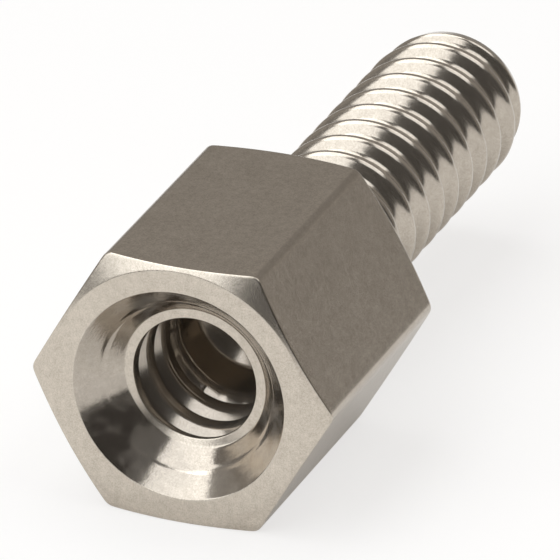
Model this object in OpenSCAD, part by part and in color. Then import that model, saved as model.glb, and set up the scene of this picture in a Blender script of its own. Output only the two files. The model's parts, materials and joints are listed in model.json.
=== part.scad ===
// Jack screw: a hexagonal body with a tapped hole in its front end and a screw stud on its rear end,
// turned from one hexagonal bar. It lies on one flat of the hexagon.
// Lengths are in millimetres. The origin is the centre of the shoulder, where the stud leaves the body:
// +X runs along the stud to its tip, and +Z points up from the upper flat.

/* [Hexagon] */
// Width of the hexagon across its flats
hex_width = 4.76; // [4.5:0.01:6]
// Length of the hexagon, from its front end to the shoulder
hex_length = 4.95; // [4.8:0.05:10]
// Distance from the flat circle on each end to the flats
end_inset = 0.075; // [0.03:0.005:0.15]
// Slope of the chamfer at each end, from the plane of that end
chamfer_slope = 22; // [15:1:40]
// Metal taken off the six long corners, along the radius
corner_break = 0.03; // [0.01:0.005:0.06]

/* [Tapped hole] */
// Diameter of the drilled hole, which is also the diameter over the crests of its thread
hole_diameter = 2.22; // [2:0.01:2.6]
// Depth of the hole's full diameter below the front end
hole_depth = 3.8; // [2.5:0.1:3.9]
// Angle of the drill point at the bottom of the hole
drill_angle = 118; // [110:1:140]
// Diameter of the countersink at the front end
sink_diameter = 3.84; // [3.6:0.02:4.1]
// Angle of the countersink from side to side
sink_angle = 92; // [80:1:100]
// Diameter at which the countersink gives way to the flatter cone that the centre drill left
throat_diameter = 3; // [2.7:0.02:3.5]
// Angle of that flatter cone from side to side
throat_angle = 105; // [100:1:130]

/* [Stud] */
// Diameter of the stud over the crests of its thread
stud_diameter = 2.82; // [2.2:0.01:3.5]
// Length of the stud from the shoulder to its tip
stud_length = 8; // [3:0.1:20]
// Length of the taper at the tip
tip_length = 0.5; // [0.2:0.05:1.5]
// Drop of the radius over that taper
tip_drop = 0.08; // [0.05:0.01:0.5]

/* [Hidden] */

// Facets of a full turn
$fn = 96;
// Depth by which the stud is rooted in the body
stud_root = 0.2;
// Distance by which the countersink's cutter stands out of the front end
cutter_reach = 0.1;

end_radius = hex_width / 2 - end_inset;
sharp_corner_radius = hex_width / 2 / cos(30);
corner_radius = sharp_corner_radius - corner_break;
chamfer_length = (corner_radius - end_radius) * tan(chamfer_slope);
hole_radius = hole_diameter / 2;
sink_radius = sink_diameter / 2;
throat_radius = throat_diameter / 2;
sink_depth = (sink_radius - throat_radius) / tan(sink_angle / 2);
throat_depth = (throat_radius - hole_radius) / tan(throat_angle / 2);
drill_point = hole_radius / tan(drill_angle / 2);
stud_radius = stud_diameter / 2;

// The bar's section, six-sided with its flats across the local X axis
module hexagonal_bar() {
    translate([0, 0, -hex_length])
        rotate(30)
            cylinder(r = sharp_corner_radius, h = hex_length, $fn = 6);
}

// The turned outline that chamfers both ends of the bar and breaks its long corners
module turned_outline() {
    rotate_extrude()
        polygon([
            [0, -hex_length],
            [end_radius, -hex_length],
            [corner_radius, -hex_length + chamfer_length],
            [corner_radius, -chamfer_length],
            [end_radius, 0],
            [0, 0],
        ]);
}

// The countersunk blind hole, with its drill point
module hole() {
    cutter_radius = sink_radius + cutter_reach * tan(sink_angle / 2);
    translate([0, 0, -hex_length])
        rotate_extrude()
            polygon([
                [0, -cutter_reach],
                [cutter_radius, -cutter_reach],
                [throat_radius, sink_depth],
                [hole_radius, sink_depth + throat_depth],
                [hole_radius, hole_depth],
                [0, hole_depth + drill_point],
            ]);
}

// The round stud, rooted in the body and tapered at its tip
module stud() {
    rotate_extrude()
        polygon([
            [0, -stud_root],
            [stud_radius, -stud_root],
            [stud_radius, stud_length - tip_length],
            [stud_radius - tip_drop, stud_length],
            [0, stud_length],
        ]);
}

// The whole screw, laid down so that its axis runs along +X
module jack_screw() {
    color([0.7, 0.67, 0.62])
        rotate([0, 90, 0])
            difference() {
                union() {
                    intersection() {
                        hexagonal_bar();
                        turned_outline();
                    }
                    stud();
                }
                hole();
            }
}

jack_screw();
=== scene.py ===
import json
import math

import bpy
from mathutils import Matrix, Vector


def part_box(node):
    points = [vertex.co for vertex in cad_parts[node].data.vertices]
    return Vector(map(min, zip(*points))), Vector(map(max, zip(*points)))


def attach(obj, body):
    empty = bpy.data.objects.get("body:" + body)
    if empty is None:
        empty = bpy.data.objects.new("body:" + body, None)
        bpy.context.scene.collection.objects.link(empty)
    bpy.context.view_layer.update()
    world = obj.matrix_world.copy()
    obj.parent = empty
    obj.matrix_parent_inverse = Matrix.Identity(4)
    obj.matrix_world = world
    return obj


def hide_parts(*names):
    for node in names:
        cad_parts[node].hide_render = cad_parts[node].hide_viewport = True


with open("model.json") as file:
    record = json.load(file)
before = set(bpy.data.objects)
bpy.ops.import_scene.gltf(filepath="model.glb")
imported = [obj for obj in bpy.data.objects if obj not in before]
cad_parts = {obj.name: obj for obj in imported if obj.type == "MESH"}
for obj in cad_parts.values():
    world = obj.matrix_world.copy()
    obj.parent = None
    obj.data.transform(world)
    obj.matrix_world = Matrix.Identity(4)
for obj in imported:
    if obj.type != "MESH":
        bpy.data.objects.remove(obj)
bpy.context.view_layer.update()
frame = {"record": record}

# The jack screw: a short hexagonal body with a tapped hole in its front end and a screw stud on its rear end.
# It is one piece of metal, turned from hexagonal bar, drilled, countersunk and tapped, with a rolled thread
# on the stud, and then plated with satin nickel.
mm = 0.001
mounts = {mount["name"]: mount for mount in frame["record"]["mounts"]}
low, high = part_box("jack_screw")
sizes = {
    "Hexagon width": high.z - low.z,
    "Hexagon length": -low.x,
    "Corner radius": high.y,
    "End inset": 0.075 * mm,
    "Chamfer slope": math.radians(22),
    "Hole radius": mounts["tapped_hole"]["dims"]["r_mm"] * mm,
    "Hole depth": 3.5 * mm,
    "Drill angle": math.radians(118),
    "Sink radius": 1.92 * mm,
    "Sink angle": math.radians(86),
    "Land radius": 1.285 * mm,
    "Land depth": 0.05 * mm,
    "Land shift": 0.05 * mm,
    "Scribed radius": 1.54 * mm,
    "Scribed depth": 0.012 * mm,
    "Stud radius": mounts["stud"]["dims"]["r_mm"] * mm,
    "Stud length": high.x,
    "Tip drop": 0.13 * mm,
    "Pitch": 0.694 * mm,
    "Stud groove": 0.23 * mm,
    "Hole groove": 0.27 * mm,
    "Edge rounding": 0.03 * mm,
}


class Wire:
    """One socket of a node tree: arithmetic on it adds Math nodes, and node() adds any other node."""

    def __init__(self, tree, socket=None):
        self.tree = tree
        self.socket = socket

    def node(self, kind, settings, inputs, output=0):
        added = self.tree.nodes.new(kind)
        for name, setting in settings.items():
            setattr(added, name, setting)
        for name, value in inputs.items():
            if isinstance(value, Wire):
                self.tree.links.new(value.socket, added.inputs[name])
            else:
                added.inputs[name].default_value = value
        return Wire(self.tree, added.outputs[output])

    def math(self, operation, *values):
        return self.node("ShaderNodeMath", {"operation": operation}, dict(enumerate(values)))

    def __add__(self, other):
        return self.math("ADD", self, other)

    def __radd__(self, other):
        return self.math("ADD", other, self)

    def __sub__(self, other):
        return self.math("SUBTRACT", self, other)

    def __rsub__(self, other):
        return self.math("SUBTRACT", other, self)

    def __mul__(self, other):
        return self.math("MULTIPLY", self, other)

    def __rmul__(self, other):
        return self.math("MULTIPLY", other, self)

    def __truediv__(self, other):
        return self.math("DIVIDE", self, other)

    def __rtruediv__(self, other):
        return self.math("DIVIDE", other, self)

    def __neg__(self):
        return self.math("MULTIPLY", self, -1.0)

    def ramp(self, start, end, smooth=False):
        """0 up to start, 1 from end on, and in between a straight or a smooth rise."""
        settings = {"interpolation_type": "SMOOTHSTEP" if smooth else "LINEAR"}
        return self.node("ShaderNodeMapRange", settings, {"Value": self, "From Min": start, "From Max": end})


turning = bpy.data.node_groups.new("turned_and_threaded", "GeometryNodeTree")
turning.interface.new_socket("Geometry", in_out="OUTPUT", socket_type="NodeSocketGeometry")
entry = turning.nodes.new("NodeGroupInput")
identifiers = {}
for name in sizes:
    socket = turning.interface.new_socket(name, in_out="INPUT", socket_type="NodeSocketFloat")
    identifiers[name] = socket.identifier
plating_socket = turning.interface.new_socket("Plating", in_out="INPUT", socket_type="NodeSocketMaterial")
lathe = Wire(turning)
size = {name: Wire(turning, entry.outputs[name]) for name in sizes}

# The surface is one sheet of points: its columns go round the axis and its rows follow the section, from the
# bottom of the hole out to the front end, over the hexagon and along the stud to its tip.
columns = 220
lines_per_turn = 20
tapped_lines = 60
tip_lines = 15
stud_lines = math.floor(sizes["Stud length"] / sizes["Pitch"] * lines_per_turn) - 1
line = size["Pitch"] / lines_per_turn

row_counts = {
    "drill point": 10,
    "drilled wall": 8,
    "tapped wall": tapped_lines,
    "land": 16,
    "countersink": 34,
    "front ring": 10,
    "front chamfer": 10,
    "flats": 20,
    "rear chamfer": 10,
    "shoulder": 8,
    "neck": 3,
    "stud": stud_lines - tip_lines,
    "tip": tip_lines,
    "tip face": 10,
}
rows = sum(row_counts.values())
first_row = {}
for name in row_counts:
    first_row[name] = sum(row_counts[other] for other in first_row)

place = lathe.node("GeometryNodeInputPosition", {}, {})
across = lathe.node("ShaderNodeSeparateXYZ", {}, {0: place}, "X")
along = lathe.node("ShaderNodeSeparateXYZ", {}, {0: place}, "Y")
row = along + rows / 2
turn = (across + columns / 2) * (2 * math.pi / columns)

# The columns crowd together at the six corners, which are narrow strips broken by the turning tool.
crowding = 0.75
angle = turn - turn.math("SINE", turn * 6.0) * (crowding / 6)
off_flat = angle.math("MODULO", angle, math.pi / 3) - math.pi / 6
flat_radius = size["Hexagon width"] / 2 / off_flat.math("COSINE", off_flat)
corner_softness = 0.05 * mm
hex_radius = flat_radius.math("SMOOTH_MIN", flat_radius, size["Corner radius"], corner_softness)

front = -size["Hexagon length"]
end_radius = size["Hexagon width"] / 2 - size["End inset"]
chamfer = (hex_radius - end_radius) * lathe.math("TANGENT", size["Chamfer slope"])
drill_point = size["Hole radius"] / lathe.math("TANGENT", size["Drill angle"] / 2)
sink_depth = (size["Sink radius"] - size["Land radius"]) / lathe.math("TANGENT", size["Sink angle"] / 2)
sink_end = front + sink_depth

# The land is the narrow, nearly flat step at the foot of the countersink, a little off centre.
rim = sink_end + size["Land depth"]
wide_side = math.radians(130)
land_radius = size["Land radius"] + size["Land shift"] * lathe.math("COSINE", angle - wide_side)

tap_start = rim + line * tapped_lines
neck = size["Stud length"] - line * stud_lines
tip_start = size["Stud length"] - line * tip_lines

# Where each stretch of the section ends: how far along the axis, and at what radius.
section_start = (front + size["Hole depth"] + drill_point, 0.0)
section_ends = {
    "drill point": (front + size["Hole depth"], size["Hole radius"]),
    "drilled wall": (tap_start, size["Hole radius"]),
    "tapped wall": (rim, size["Hole radius"]),
    "land": (sink_end, land_radius),
    "countersink": (front, size["Sink radius"]),
    "front ring": (front, end_radius),
    "front chamfer": (front + chamfer, hex_radius),
    "flats": (-chamfer, hex_radius),
    "rear chamfer": (0.0, end_radius),
    "shoulder": (0.0, size["Stud radius"]),
    "neck": (neck, size["Stud radius"]),
    "stud": (tip_start, size["Stud radius"]),
    "tip": (size["Stud length"], size["Stud radius"] - size["Tip drop"]),
    "tip face": (size["Stud length"], 0.0),
}
threaded = ("tapped wall", "stud", "tip")

# Distance travelled along the section at each row. The rows crowd towards the edges of a plain stretch,
# and on the threads they are evenly spaced along the axis.
edge_step = 0.012 * mm
travelled = 0.0
stretch_start = {}
stretch_length = {}
stretch_run = {}
stretch_rise = {}
reached = 0.0
previous_along, previous_radius = section_start
for name, (end_along, end_radius_here) in section_ends.items():
    run = end_along - previous_along
    rise = end_radius_here - previous_radius
    count = row_counts[name]
    share = row.ramp(first_row[name], first_row[name] + count)
    if name in threaded:
        length = lathe.math("ABSOLUTE", run)
    else:
        length = lathe.math("SQRT", run * run + rise * rise)
        crowd = lathe.math("MAXIMUM", 1.0 - edge_step * count / length, 0.0)
        share = share - crowd * lathe.math("SINE", share * (2 * math.pi)) / (2 * math.pi)
    stretch_start[name] = reached
    stretch_length[name] = length
    stretch_run[name] = run
    stretch_rise[name] = rise
    travelled = travelled + length * share
    reached = reached + length
    previous_along, previous_radius = end_along, end_radius_here

# On the threads each row slides to the nearest line of the helix, so that crests and roots have clean edges.
turned_share = angle / (2 * math.pi)
slide_rows = 4


def helix_slide(start_name, end_name, direction):
    """How far the rows of a thread slide along the axis to meet the lines of its helix."""
    first = first_row[start_name]
    last = first_row[end_name] + row_counts[end_name]
    within = row.ramp(first, first + slide_rows) * row.ramp(last, last - slide_rows)
    lines = (row - first) * direction - turned_share * lines_per_turn
    return (lathe.math("ROUND", lines) - lines) * line * direction * within


travelled = travelled + helix_slide("stud", "tip", 1.0)
travelled = travelled + helix_slide("tapped wall", "tapped wall", -1.0)

# The section itself, with every edge between two stretches rounded.
along_axis, radius = section_start
rounding = size["Edge rounding"]
for name in section_ends:
    passed = travelled - stretch_start[name]
    if name != "drill point":
        passed = lathe.math("SMOOTH_MAX", passed, 0.0, rounding)
    if name != "tip face":
        passed = lathe.math("SMOOTH_MIN", passed, stretch_length[name], rounding)
    passed = passed / stretch_length[name]
    along_axis = along_axis + stretch_run[name] * passed
    radius = radius + stretch_rise[name] * passed

# The countersinking tool has scribed one fine line round its cone.
line_half = 0.035 * mm
scribed = radius.ramp(size["Scribed radius"] - line_half, size["Scribed radius"], smooth=True)
scribed = scribed * radius.ramp(size["Scribed radius"] + line_half, size["Scribed radius"], smooth=True)
scribed = scribed * lathe.math("LESS_THAN", row, first_row["front ring"])
along_axis = along_axis + scribed * size["Scribed depth"]

# Both threads are right-handed, with rounded crests and roots. The tap's groove fades out at its inner end
# and towards the land, and the stud's thread fades in beyond the neck and carries on over the tapered tip.
# Each helix is set by its shift, flank width for its depth, half-width of its top and rounding, the shift
# and the half-width being shares of the pitch.
run_out_lines = 12
mouth_lines = 8
tap_softness = 0.03 * mm
tap_helix = {"shift": 0.8, "flank": 0.72, "top_half": 1 / 32, "rounding": 0.25}
stud_helix = {"shift": 0.5, "flank": 0.47, "top_half": 0.13, "rounding": 1.0}


def helix_height(origin, depth, helix):
    """The thread's section: 1 on its rounded top, down to 0 at the rounded foot of its flanks."""
    phase = (along_axis - origin) / size["Pitch"] - turned_share
    from_top = lathe.math("ABSOLUTE", lathe.math("FRACT", phase) - 0.5)
    flank = depth * helix["flank"] / size["Pitch"]
    rise = (flank + helix["top_half"] - from_top) / flank
    topped = lathe.math("SMOOTH_MIN", rise, 1.0, helix["rounding"])
    return lathe.math("SMOOTH_MAX", topped, 0.0, helix["rounding"])


tap_first = first_row["tapped wall"]
tap_last = first_row["land"]
tap_window = row.ramp(tap_first, tap_first + run_out_lines) * row.ramp(tap_last, tap_last - mouth_lines)
tap_origin = tap_start - size["Pitch"] * tap_helix["shift"]
tap_height = helix_height(tap_origin, size["Hole groove"], tap_helix)
tap_radius = size["Hole radius"] + size["Hole groove"] * tap_height
radius = radius + lathe.math("SMOOTH_MAX", tap_radius - radius, 0.0, tap_softness) * tap_window

stud_first = first_row["stud"]
stud_window = row.ramp(stud_first, stud_first + run_out_lines)
stud_origin = neck + size["Pitch"] * stud_helix["shift"]
stud_height = helix_height(stud_origin, size["Stud groove"], stud_helix)
stud_radius = size["Stud radius"] - size["Stud groove"] * (1.0 - stud_height) * stud_window
stud_outline = size["Stud radius"] - size["Tip drop"] * along_axis.ramp(tip_start, size["Stud length"])
kept_share = lathe.math("MINIMUM", stud_radius / stud_outline, 1.0)
on_stud = lathe.math("GREATER_THAN", row, stud_first - 0.5)
radius = radius * (1.0 - on_stud + on_stud * kept_share)

sheet = lathe.node(
    "GeometryNodeMeshGrid",
    {},
    {"Size X": columns, "Size Y": rows, "Vertices X": columns + 1, "Vertices Y": rows + 1},
    "Mesh",
)
outline = lathe.node(
    "ShaderNodeCombineXYZ",
    {},
    {
        "X": along_axis,
        "Y": radius * lathe.math("COSINE", angle),
        "Z": radius * lathe.math("SINE", angle),
    },
)

# Marks kept at the points for the plating to read: how each place was made. They fade over a row or two
# where one kind of surface meets the next.
cut_first = first_row["land"]
cut_last = first_row["flats"]
sink_first = first_row["countersink"]
sink_last = first_row["front ring"]
rear_first = first_row["rear chamfer"]
corner_starts = math.radians(28.4)
corner_full = math.radians(29.2)
turned_front = row.ramp(cut_first - 2, cut_first) * row.ramp(cut_last + 1, cut_last - 1)
turned_rear = row.ramp(rear_first - 1, rear_first + 1)
rolled = row.ramp(stud_first - 2, stud_first)
drilled = row.ramp(tap_first + run_out_lines, tap_first)
tapped = row.ramp(tap_first, tap_first + run_out_lines) * row.ramp(cut_first, cut_first - 1)
sunk = row.ramp(sink_first - 1, sink_first + 1) * row.ramp(sink_last, sink_last - 1)
on_bar = row.ramp(cut_last, cut_last + 2) * row.ramp(rear_first, rear_first - 2)
drawn_corner = lathe.math("ABSOLUTE", off_flat).ramp(corner_starts, corner_full) * on_bar
marks = {
    "turned": turned_front + turned_rear - rolled,
    "rolled": rolled,
    "drilled": drilled,
    "tapped": tapped,
    "sunk": sunk,
    "drawn corner": drawn_corner,
}
shape = sheet
for name, mark in marks.items():
    shape = lathe.node(
        "GeometryNodeStoreNamedAttribute",
        {"data_type": "FLOAT", "domain": "POINT"},
        {"Geometry": shape, "Name": name, "Value": mark},
    )
shape = lathe.node("GeometryNodeSetPosition", {}, {"Geometry": shape, "Position": outline})
weld = 0.0001 * mm
shape = lathe.node("GeometryNodeMergeByDistance", {}, {"Geometry": shape, "Distance": weld})
shape = lathe.node("GeometryNodeTriangulate", {"quad_method": "SHORTEST_DIAGONAL"}, {"Mesh": shape})
shape = lathe.node("GeometryNodeSetShadeSmooth", {}, {"Geometry": shape})
shape = lathe.node("GeometryNodeRealizeInstances", {}, {"Geometry": shape})
shape = lathe.node(
    "GeometryNodeSetMaterial",
    {},
    {"Geometry": shape, "Material": Wire(turning, entry.outputs["Plating"])},
)
leaving = turning.nodes.new("NodeGroupOutput")
turning.links.new(shape.socket, leaving.inputs["Geometry"])

# Satin nickel: a mottled, warm grey metal with a very fine grain on the flats and faint rings left by the
# tool on the turned faces. The threads, the hole and the countersink are smoother, darker and slightly hazy,
# and the countersink is smudged; the six corner strips are darker too. Inside the hole the darker tone is
# painted shade.
plating = bpy.data.materials.new("satin_nickel_plate")
plating.use_nodes = True
shading = plating.node_tree
shader = shading.nodes["Principled BSDF"]
bath = Wire(shading)
spot = bath.node("ShaderNodeTexCoord", {}, {}, "Object")
made = {}
for name in marks:
    made[name] = bath.node("ShaderNodeAttribute", {"attribute_name": name}, {}, "Fac")


def speckle(speck_size, detail):
    """Noise over the surface with specks of one size."""
    inputs = {"Vector": spot, "Scale": 1 / speck_size, "Detail": detail}
    return bath.node("ShaderNodeTexNoise", {}, inputs, "Fac")


grain_size = 0.03 * mm
blotch_size = 0.12 * mm
cloud_size = 0.5 * mm
warm_below = 0.34
pale_above = 0.66
clean_below = 0.42
smudged_above = 0.62
grain = speckle(grain_size, detail=2.0)
blotches = speckle(blotch_size, detail=4.0)
clouds = speckle(cloud_size, detail=3.0)
mottle = (0.15 * clouds + 0.35 * blotches + 0.5 * grain).ramp(warm_below, pale_above)
smudges = clouds.ramp(clean_below, smudged_above, smooth=True)
axis_y = bath.node("ShaderNodeSeparateXYZ", {}, {0: spot}, "Y")
axis_z = bath.node("ShaderNodeSeparateXYZ", {}, {0: spot}, "Z")
ring_width = 0.03 * mm
from_axis = bath.math("SQRT", axis_y * axis_y + axis_z * axis_z) / ring_width
rings = bath.node("ShaderNodeTexNoise", {"noise_dimensions": "1D"}, {"W": from_axis, "Scale": 1.0}, "Fac")

# How each kind of surface differs from the flats: smoother, darker and hazier. In the drilled and tapped hole
# the darker tone is painted shade.
satin_roughness = 0.2
cloud_roughness = 0.04
grain_roughness = 0.06
smudge_haze = 0.2
finish_and_hole_shade = {
    "rolled": {"darker": 0.2, "smoother": 0.08, "hazier": 0.1},
    # Painted shade: the drilled and tapped walls of the hole are darkened.
    "drilled": {"darker": 0.3, "smoother": 0.08, "hazier": 0.15},
    "tapped": {"darker": 0.45, "smoother": 0.08, "hazier": 0.2},
    "sunk": {"darker": 0.35, "smoother": 0.11, "hazier": 0.03},
    "drawn corner": {"darker": 0.4, "smoother": 0.0, "hazier": 0.0},
}
darkening = 0.0
roughness = satin_roughness + cloud_roughness * clouds + grain_roughness * grain
metallic = 1.0 - smudge_haze * smudges * made["sunk"]
for name, change in finish_and_hole_shade.items():
    darkening = darkening + change["darker"] * made[name]
    roughness = roughness - change["smoother"] * made[name]
    metallic = metallic - change["hazier"] * made[name]

warm_nickel = (0.47, 0.418, 0.352, 1.0)
pale_nickel = (0.64, 0.577, 0.497, 1.0)
# The darker tone mixed in below; inside the hole it is painted shade.
dark_nickel = (0.3, 0.265, 0.23, 1.0)
darkening = bath.math("MINIMUM", darkening, 1.0)
tone = bath.node("ShaderNodeMix", {"data_type": "RGBA"}, {0: mottle, 6: warm_nickel, 7: pale_nickel}, 2)
tone = bath.node("ShaderNodeMix", {"data_type": "RGBA"}, {0: darkening, 6: tone, 7: dark_nickel}, 2)

# Heights of the fine relief, in microns before the bump's strength.
micron = 0.001 * mm
bump_strength = 0.15
grain_height = 0.6
turned_ring_height = 0.4
sunk_ring_height = 4.0
sunk_blotch_height = 12.0
relief = grain * (1.0 - made["rolled"]) * grain_height
relief = relief + rings * (turned_ring_height * made["turned"] + sunk_ring_height * made["sunk"])
relief = relief + blotches * sunk_blotch_height * made["sunk"]
bump = bath.node(
    "ShaderNodeBump",
    {},
    {"Strength": bump_strength, "Distance": micron, "Height": relief},
    "Normal",
)
shading.links.new(tone.socket, shader.inputs["Base Color"])
shading.links.new(roughness.socket, shader.inputs["Roughness"])
shading.links.new(metallic.socket, shader.inputs["Metallic"])
shading.links.new(bump.socket, shader.inputs["Normal"])

blank = bpy.data.objects.new("blank", bpy.data.meshes.new("blank"))
bpy.context.scene.collection.objects.link(blank)
turned_form = blank.modifiers.new("turned_and_threaded", "NODES")
turned_form.node_group = turning
for name, identifier in identifiers.items():
    turned_form[identifier] = sizes[name]
turned_form[plating_socket.identifier] = plating
scene_graph = bpy.context.evaluated_depsgraph_get()
screw_mesh = bpy.data.meshes.new_from_object(blank.evaluated_get(scene_graph))
bpy.data.objects.remove(blank)
screw_mesh.name = "threaded_jack_screw"
screw = bpy.data.objects.new("threaded_jack_screw", screw_mesh)
bpy.context.scene.collection.objects.link(screw)
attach(screw, "root")
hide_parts("jack_screw")

# The floor: a pale matt sheet, level with the lower flat that the screw lies on. Beyond 50 to 80 mm from the
# screw it turns dark grey, painted shade for the light falling off far from the lamps, except in a narrow fan
# behind the screw, and to the camera and in reflections it is lifted towards white.
floor_half = 600 * mm
floor_colour = (0.985, 0.975, 0.965, 1.0)
floor_roughness = 0.9
far_floor_shade_colour = (0.08, 0.08, 0.08, 1.0)
sheet_whole = 50 * mm
sheet_gone = 80 * mm
long_way = (0.84, 0.54, 0.0)
fan_whole = 0.98
fan_gone = 0.9
lifts = {"Is Camera Ray": 0.72, "Is Glossy Ray": 0.25, "Is Transmission Ray": 0.25}
floor_mesh = bpy.data.meshes.new("floor")
floor_corners = [(x * floor_half, y * floor_half, low.z) for x, y in ((-1, -1), (1, -1), (1, 1), (-1, 1))]
floor_mesh.from_pydata(floor_corners, [], [(0, 1, 2, 3)])
floor = bpy.data.objects.new("floor", floor_mesh)
bpy.context.scene.collection.objects.link(floor)
pale_sheet = bpy.data.materials.new("pale_sheet")
pale_sheet.use_nodes = True
sheet_tree = pale_sheet.node_tree
paper = Wire(sheet_tree)
paper_spot = paper.node("ShaderNodeTexCoord", {}, {}, "Object")
from_screw = paper.node("ShaderNodeVectorMath", {"operation": "LENGTH"}, {0: paper_spot}, "Value")
behind = paper.node(
    "ShaderNodeVectorMath",
    {"operation": "DOT_PRODUCT"},
    {0: paper_spot, 1: long_way},
    "Value",
)
# Painted shade: the floor darkens away from the screw, outside the fan behind it.
far_floor_shade = from_screw.ramp(sheet_whole, sheet_gone, smooth=True)
far_floor_shade = far_floor_shade * (behind / from_screw).ramp(fan_whole, fan_gone, smooth=True)
sheet_tone = paper.node(
    "ShaderNodeMix",
    {"data_type": "RGBA"},
    {0: far_floor_shade, 6: floor_colour, 7: far_floor_shade_colour},
    2,
)
whiteness = 0.0
for kind_of_ray, lift in lifts.items():
    whiteness = paper.node("ShaderNodeLightPath", {}, {}, kind_of_ray) * lift + whiteness
whiteness = paper.math("MINIMUM", whiteness, lifts["Is Camera Ray"])
glow = paper.node("ShaderNodeEmission", {}, {"Color": sheet_tone, "Strength": 1.0}, "Emission")
matt = sheet_tree.nodes["Principled BSDF"]
matt.inputs["Roughness"].default_value = floor_roughness
sheet_tree.links.new(sheet_tone.socket, matt.inputs["Base Color"])
lifted = paper.node("ShaderNodeMixShader", {}, {0: whiteness, 1: Wire(sheet_tree, matt.outputs[0]), 2: glow})
sheet_tree.links.new(lifted.socket, sheet_tree.nodes["Material Output"].inputs["Surface"])
floor_mesh.materials.append(pale_sheet)

# The light: a large soft box up on the left of the front end, two more overhead to the left and the right,
# and a dim room that is lighter beyond the stud than on the side that the screw is seen from. Each box's
# width and height are shares of its distance.
softbox_distance = 150 * mm
softbox_colour = (0.955, 0.98, 1.0)
softboxes = {
    "main softbox": {"towards": (-0.719, 0.382, 0.581), "width": 0.92, "height": 1.13, "radiance": 2.0},
    "overhead softbox": {"towards": (0.05, 0.342, 0.938), "width": 0.9, "height": 0.81, "radiance": 2.4},
    "right softbox": {"towards": (0.08, -0.45, 0.88), "width": 1.0, "height": 0.555, "radiance": 1.6},
}
for name, softbox in softboxes.items():
    direction = Vector(softbox["towards"]).normalized()
    panel = bpy.data.lights.new(name, "AREA")
    panel.shape = "RECTANGLE"
    panel.size = softbox["width"] * softbox_distance
    panel.size_y = softbox["height"] * softbox_distance
    panel.color = softbox_colour
    panel.energy = softbox["radiance"] * math.pi * panel.size * panel.size_y
    lamp = bpy.data.objects.new(name, panel)
    lamp.location = direction * softbox_distance
    lamp.rotation_mode = "QUATERNION"
    lamp.rotation_quaternion = direction.to_track_quat("Z", "Y")
    lamp.visible_camera = False
    bpy.context.scene.collection.objects.link(lamp)

room_colour = (1.0, 0.94, 0.88, 1.0)
dim_strength = 0.055
light_strength = 0.325
lighter_side = Vector((0.93, 0.355, -0.097)).normalized()
dim_until = -0.6
light_from = 0.3
room = bpy.data.worlds.new("room")
room.use_nodes = True
bpy.context.scene.world = room
walls = Wire(room.node_tree)
towards = walls.node("ShaderNodeTexCoord", {}, {}, "Generated")
facing = walls.node(
    "ShaderNodeVectorMath",
    {"operation": "DOT_PRODUCT"},
    {0: towards, 1: lighter_side},
    "Value",
)
lightness = facing.ramp(dim_until, light_from, smooth=True)
strength = dim_strength + (light_strength - dim_strength) * lightness
background = room.node_tree.nodes["Background"]
background.inputs["Color"].default_value = room_colour
room.node_tree.links.new(strength.socket, background.inputs["Strength"])

# The camera: a very long lens, looking down on the front end from its right.
image_side = 560
focal_pixels = 12000
view_azimuth = math.radians(-68.33)
view_elevation = math.radians(25.5)
pixels_per_metre = 58300
shoulder_pixel = (286.8, 278.6)
sensor_width = 36
camera_data = bpy.data.cameras.new("camera")
camera_data.sensor_width = sensor_width
camera_data.lens = focal_pixels / image_side * sensor_width
camera = bpy.data.objects.new("camera", camera_data)
bpy.context.scene.collection.objects.link(camera)
back = Vector(
    (
        math.sin(view_azimuth) * math.cos(view_elevation),
        -math.cos(view_azimuth) * math.cos(view_elevation),
        math.sin(view_elevation),
    )
)
heading = back.to_track_quat("Z", "Y")
aim = Vector(
    (
        (image_side / 2 - shoulder_pixel[0]) / pixels_per_metre,
        (shoulder_pixel[1] - image_side / 2) / pixels_per_metre,
        focal_pixels / pixels_per_metre,
    )
)
camera.rotation_mode = "QUATERNION"
camera.rotation_quaternion = heading
camera.location = heading @ aim
camera_data.clip_start = 1 * mm
camera_data.clip_end = 5
bpy.context.scene.camera = camera
bpy.context.scene.view_settings.view_transform = "Standard"
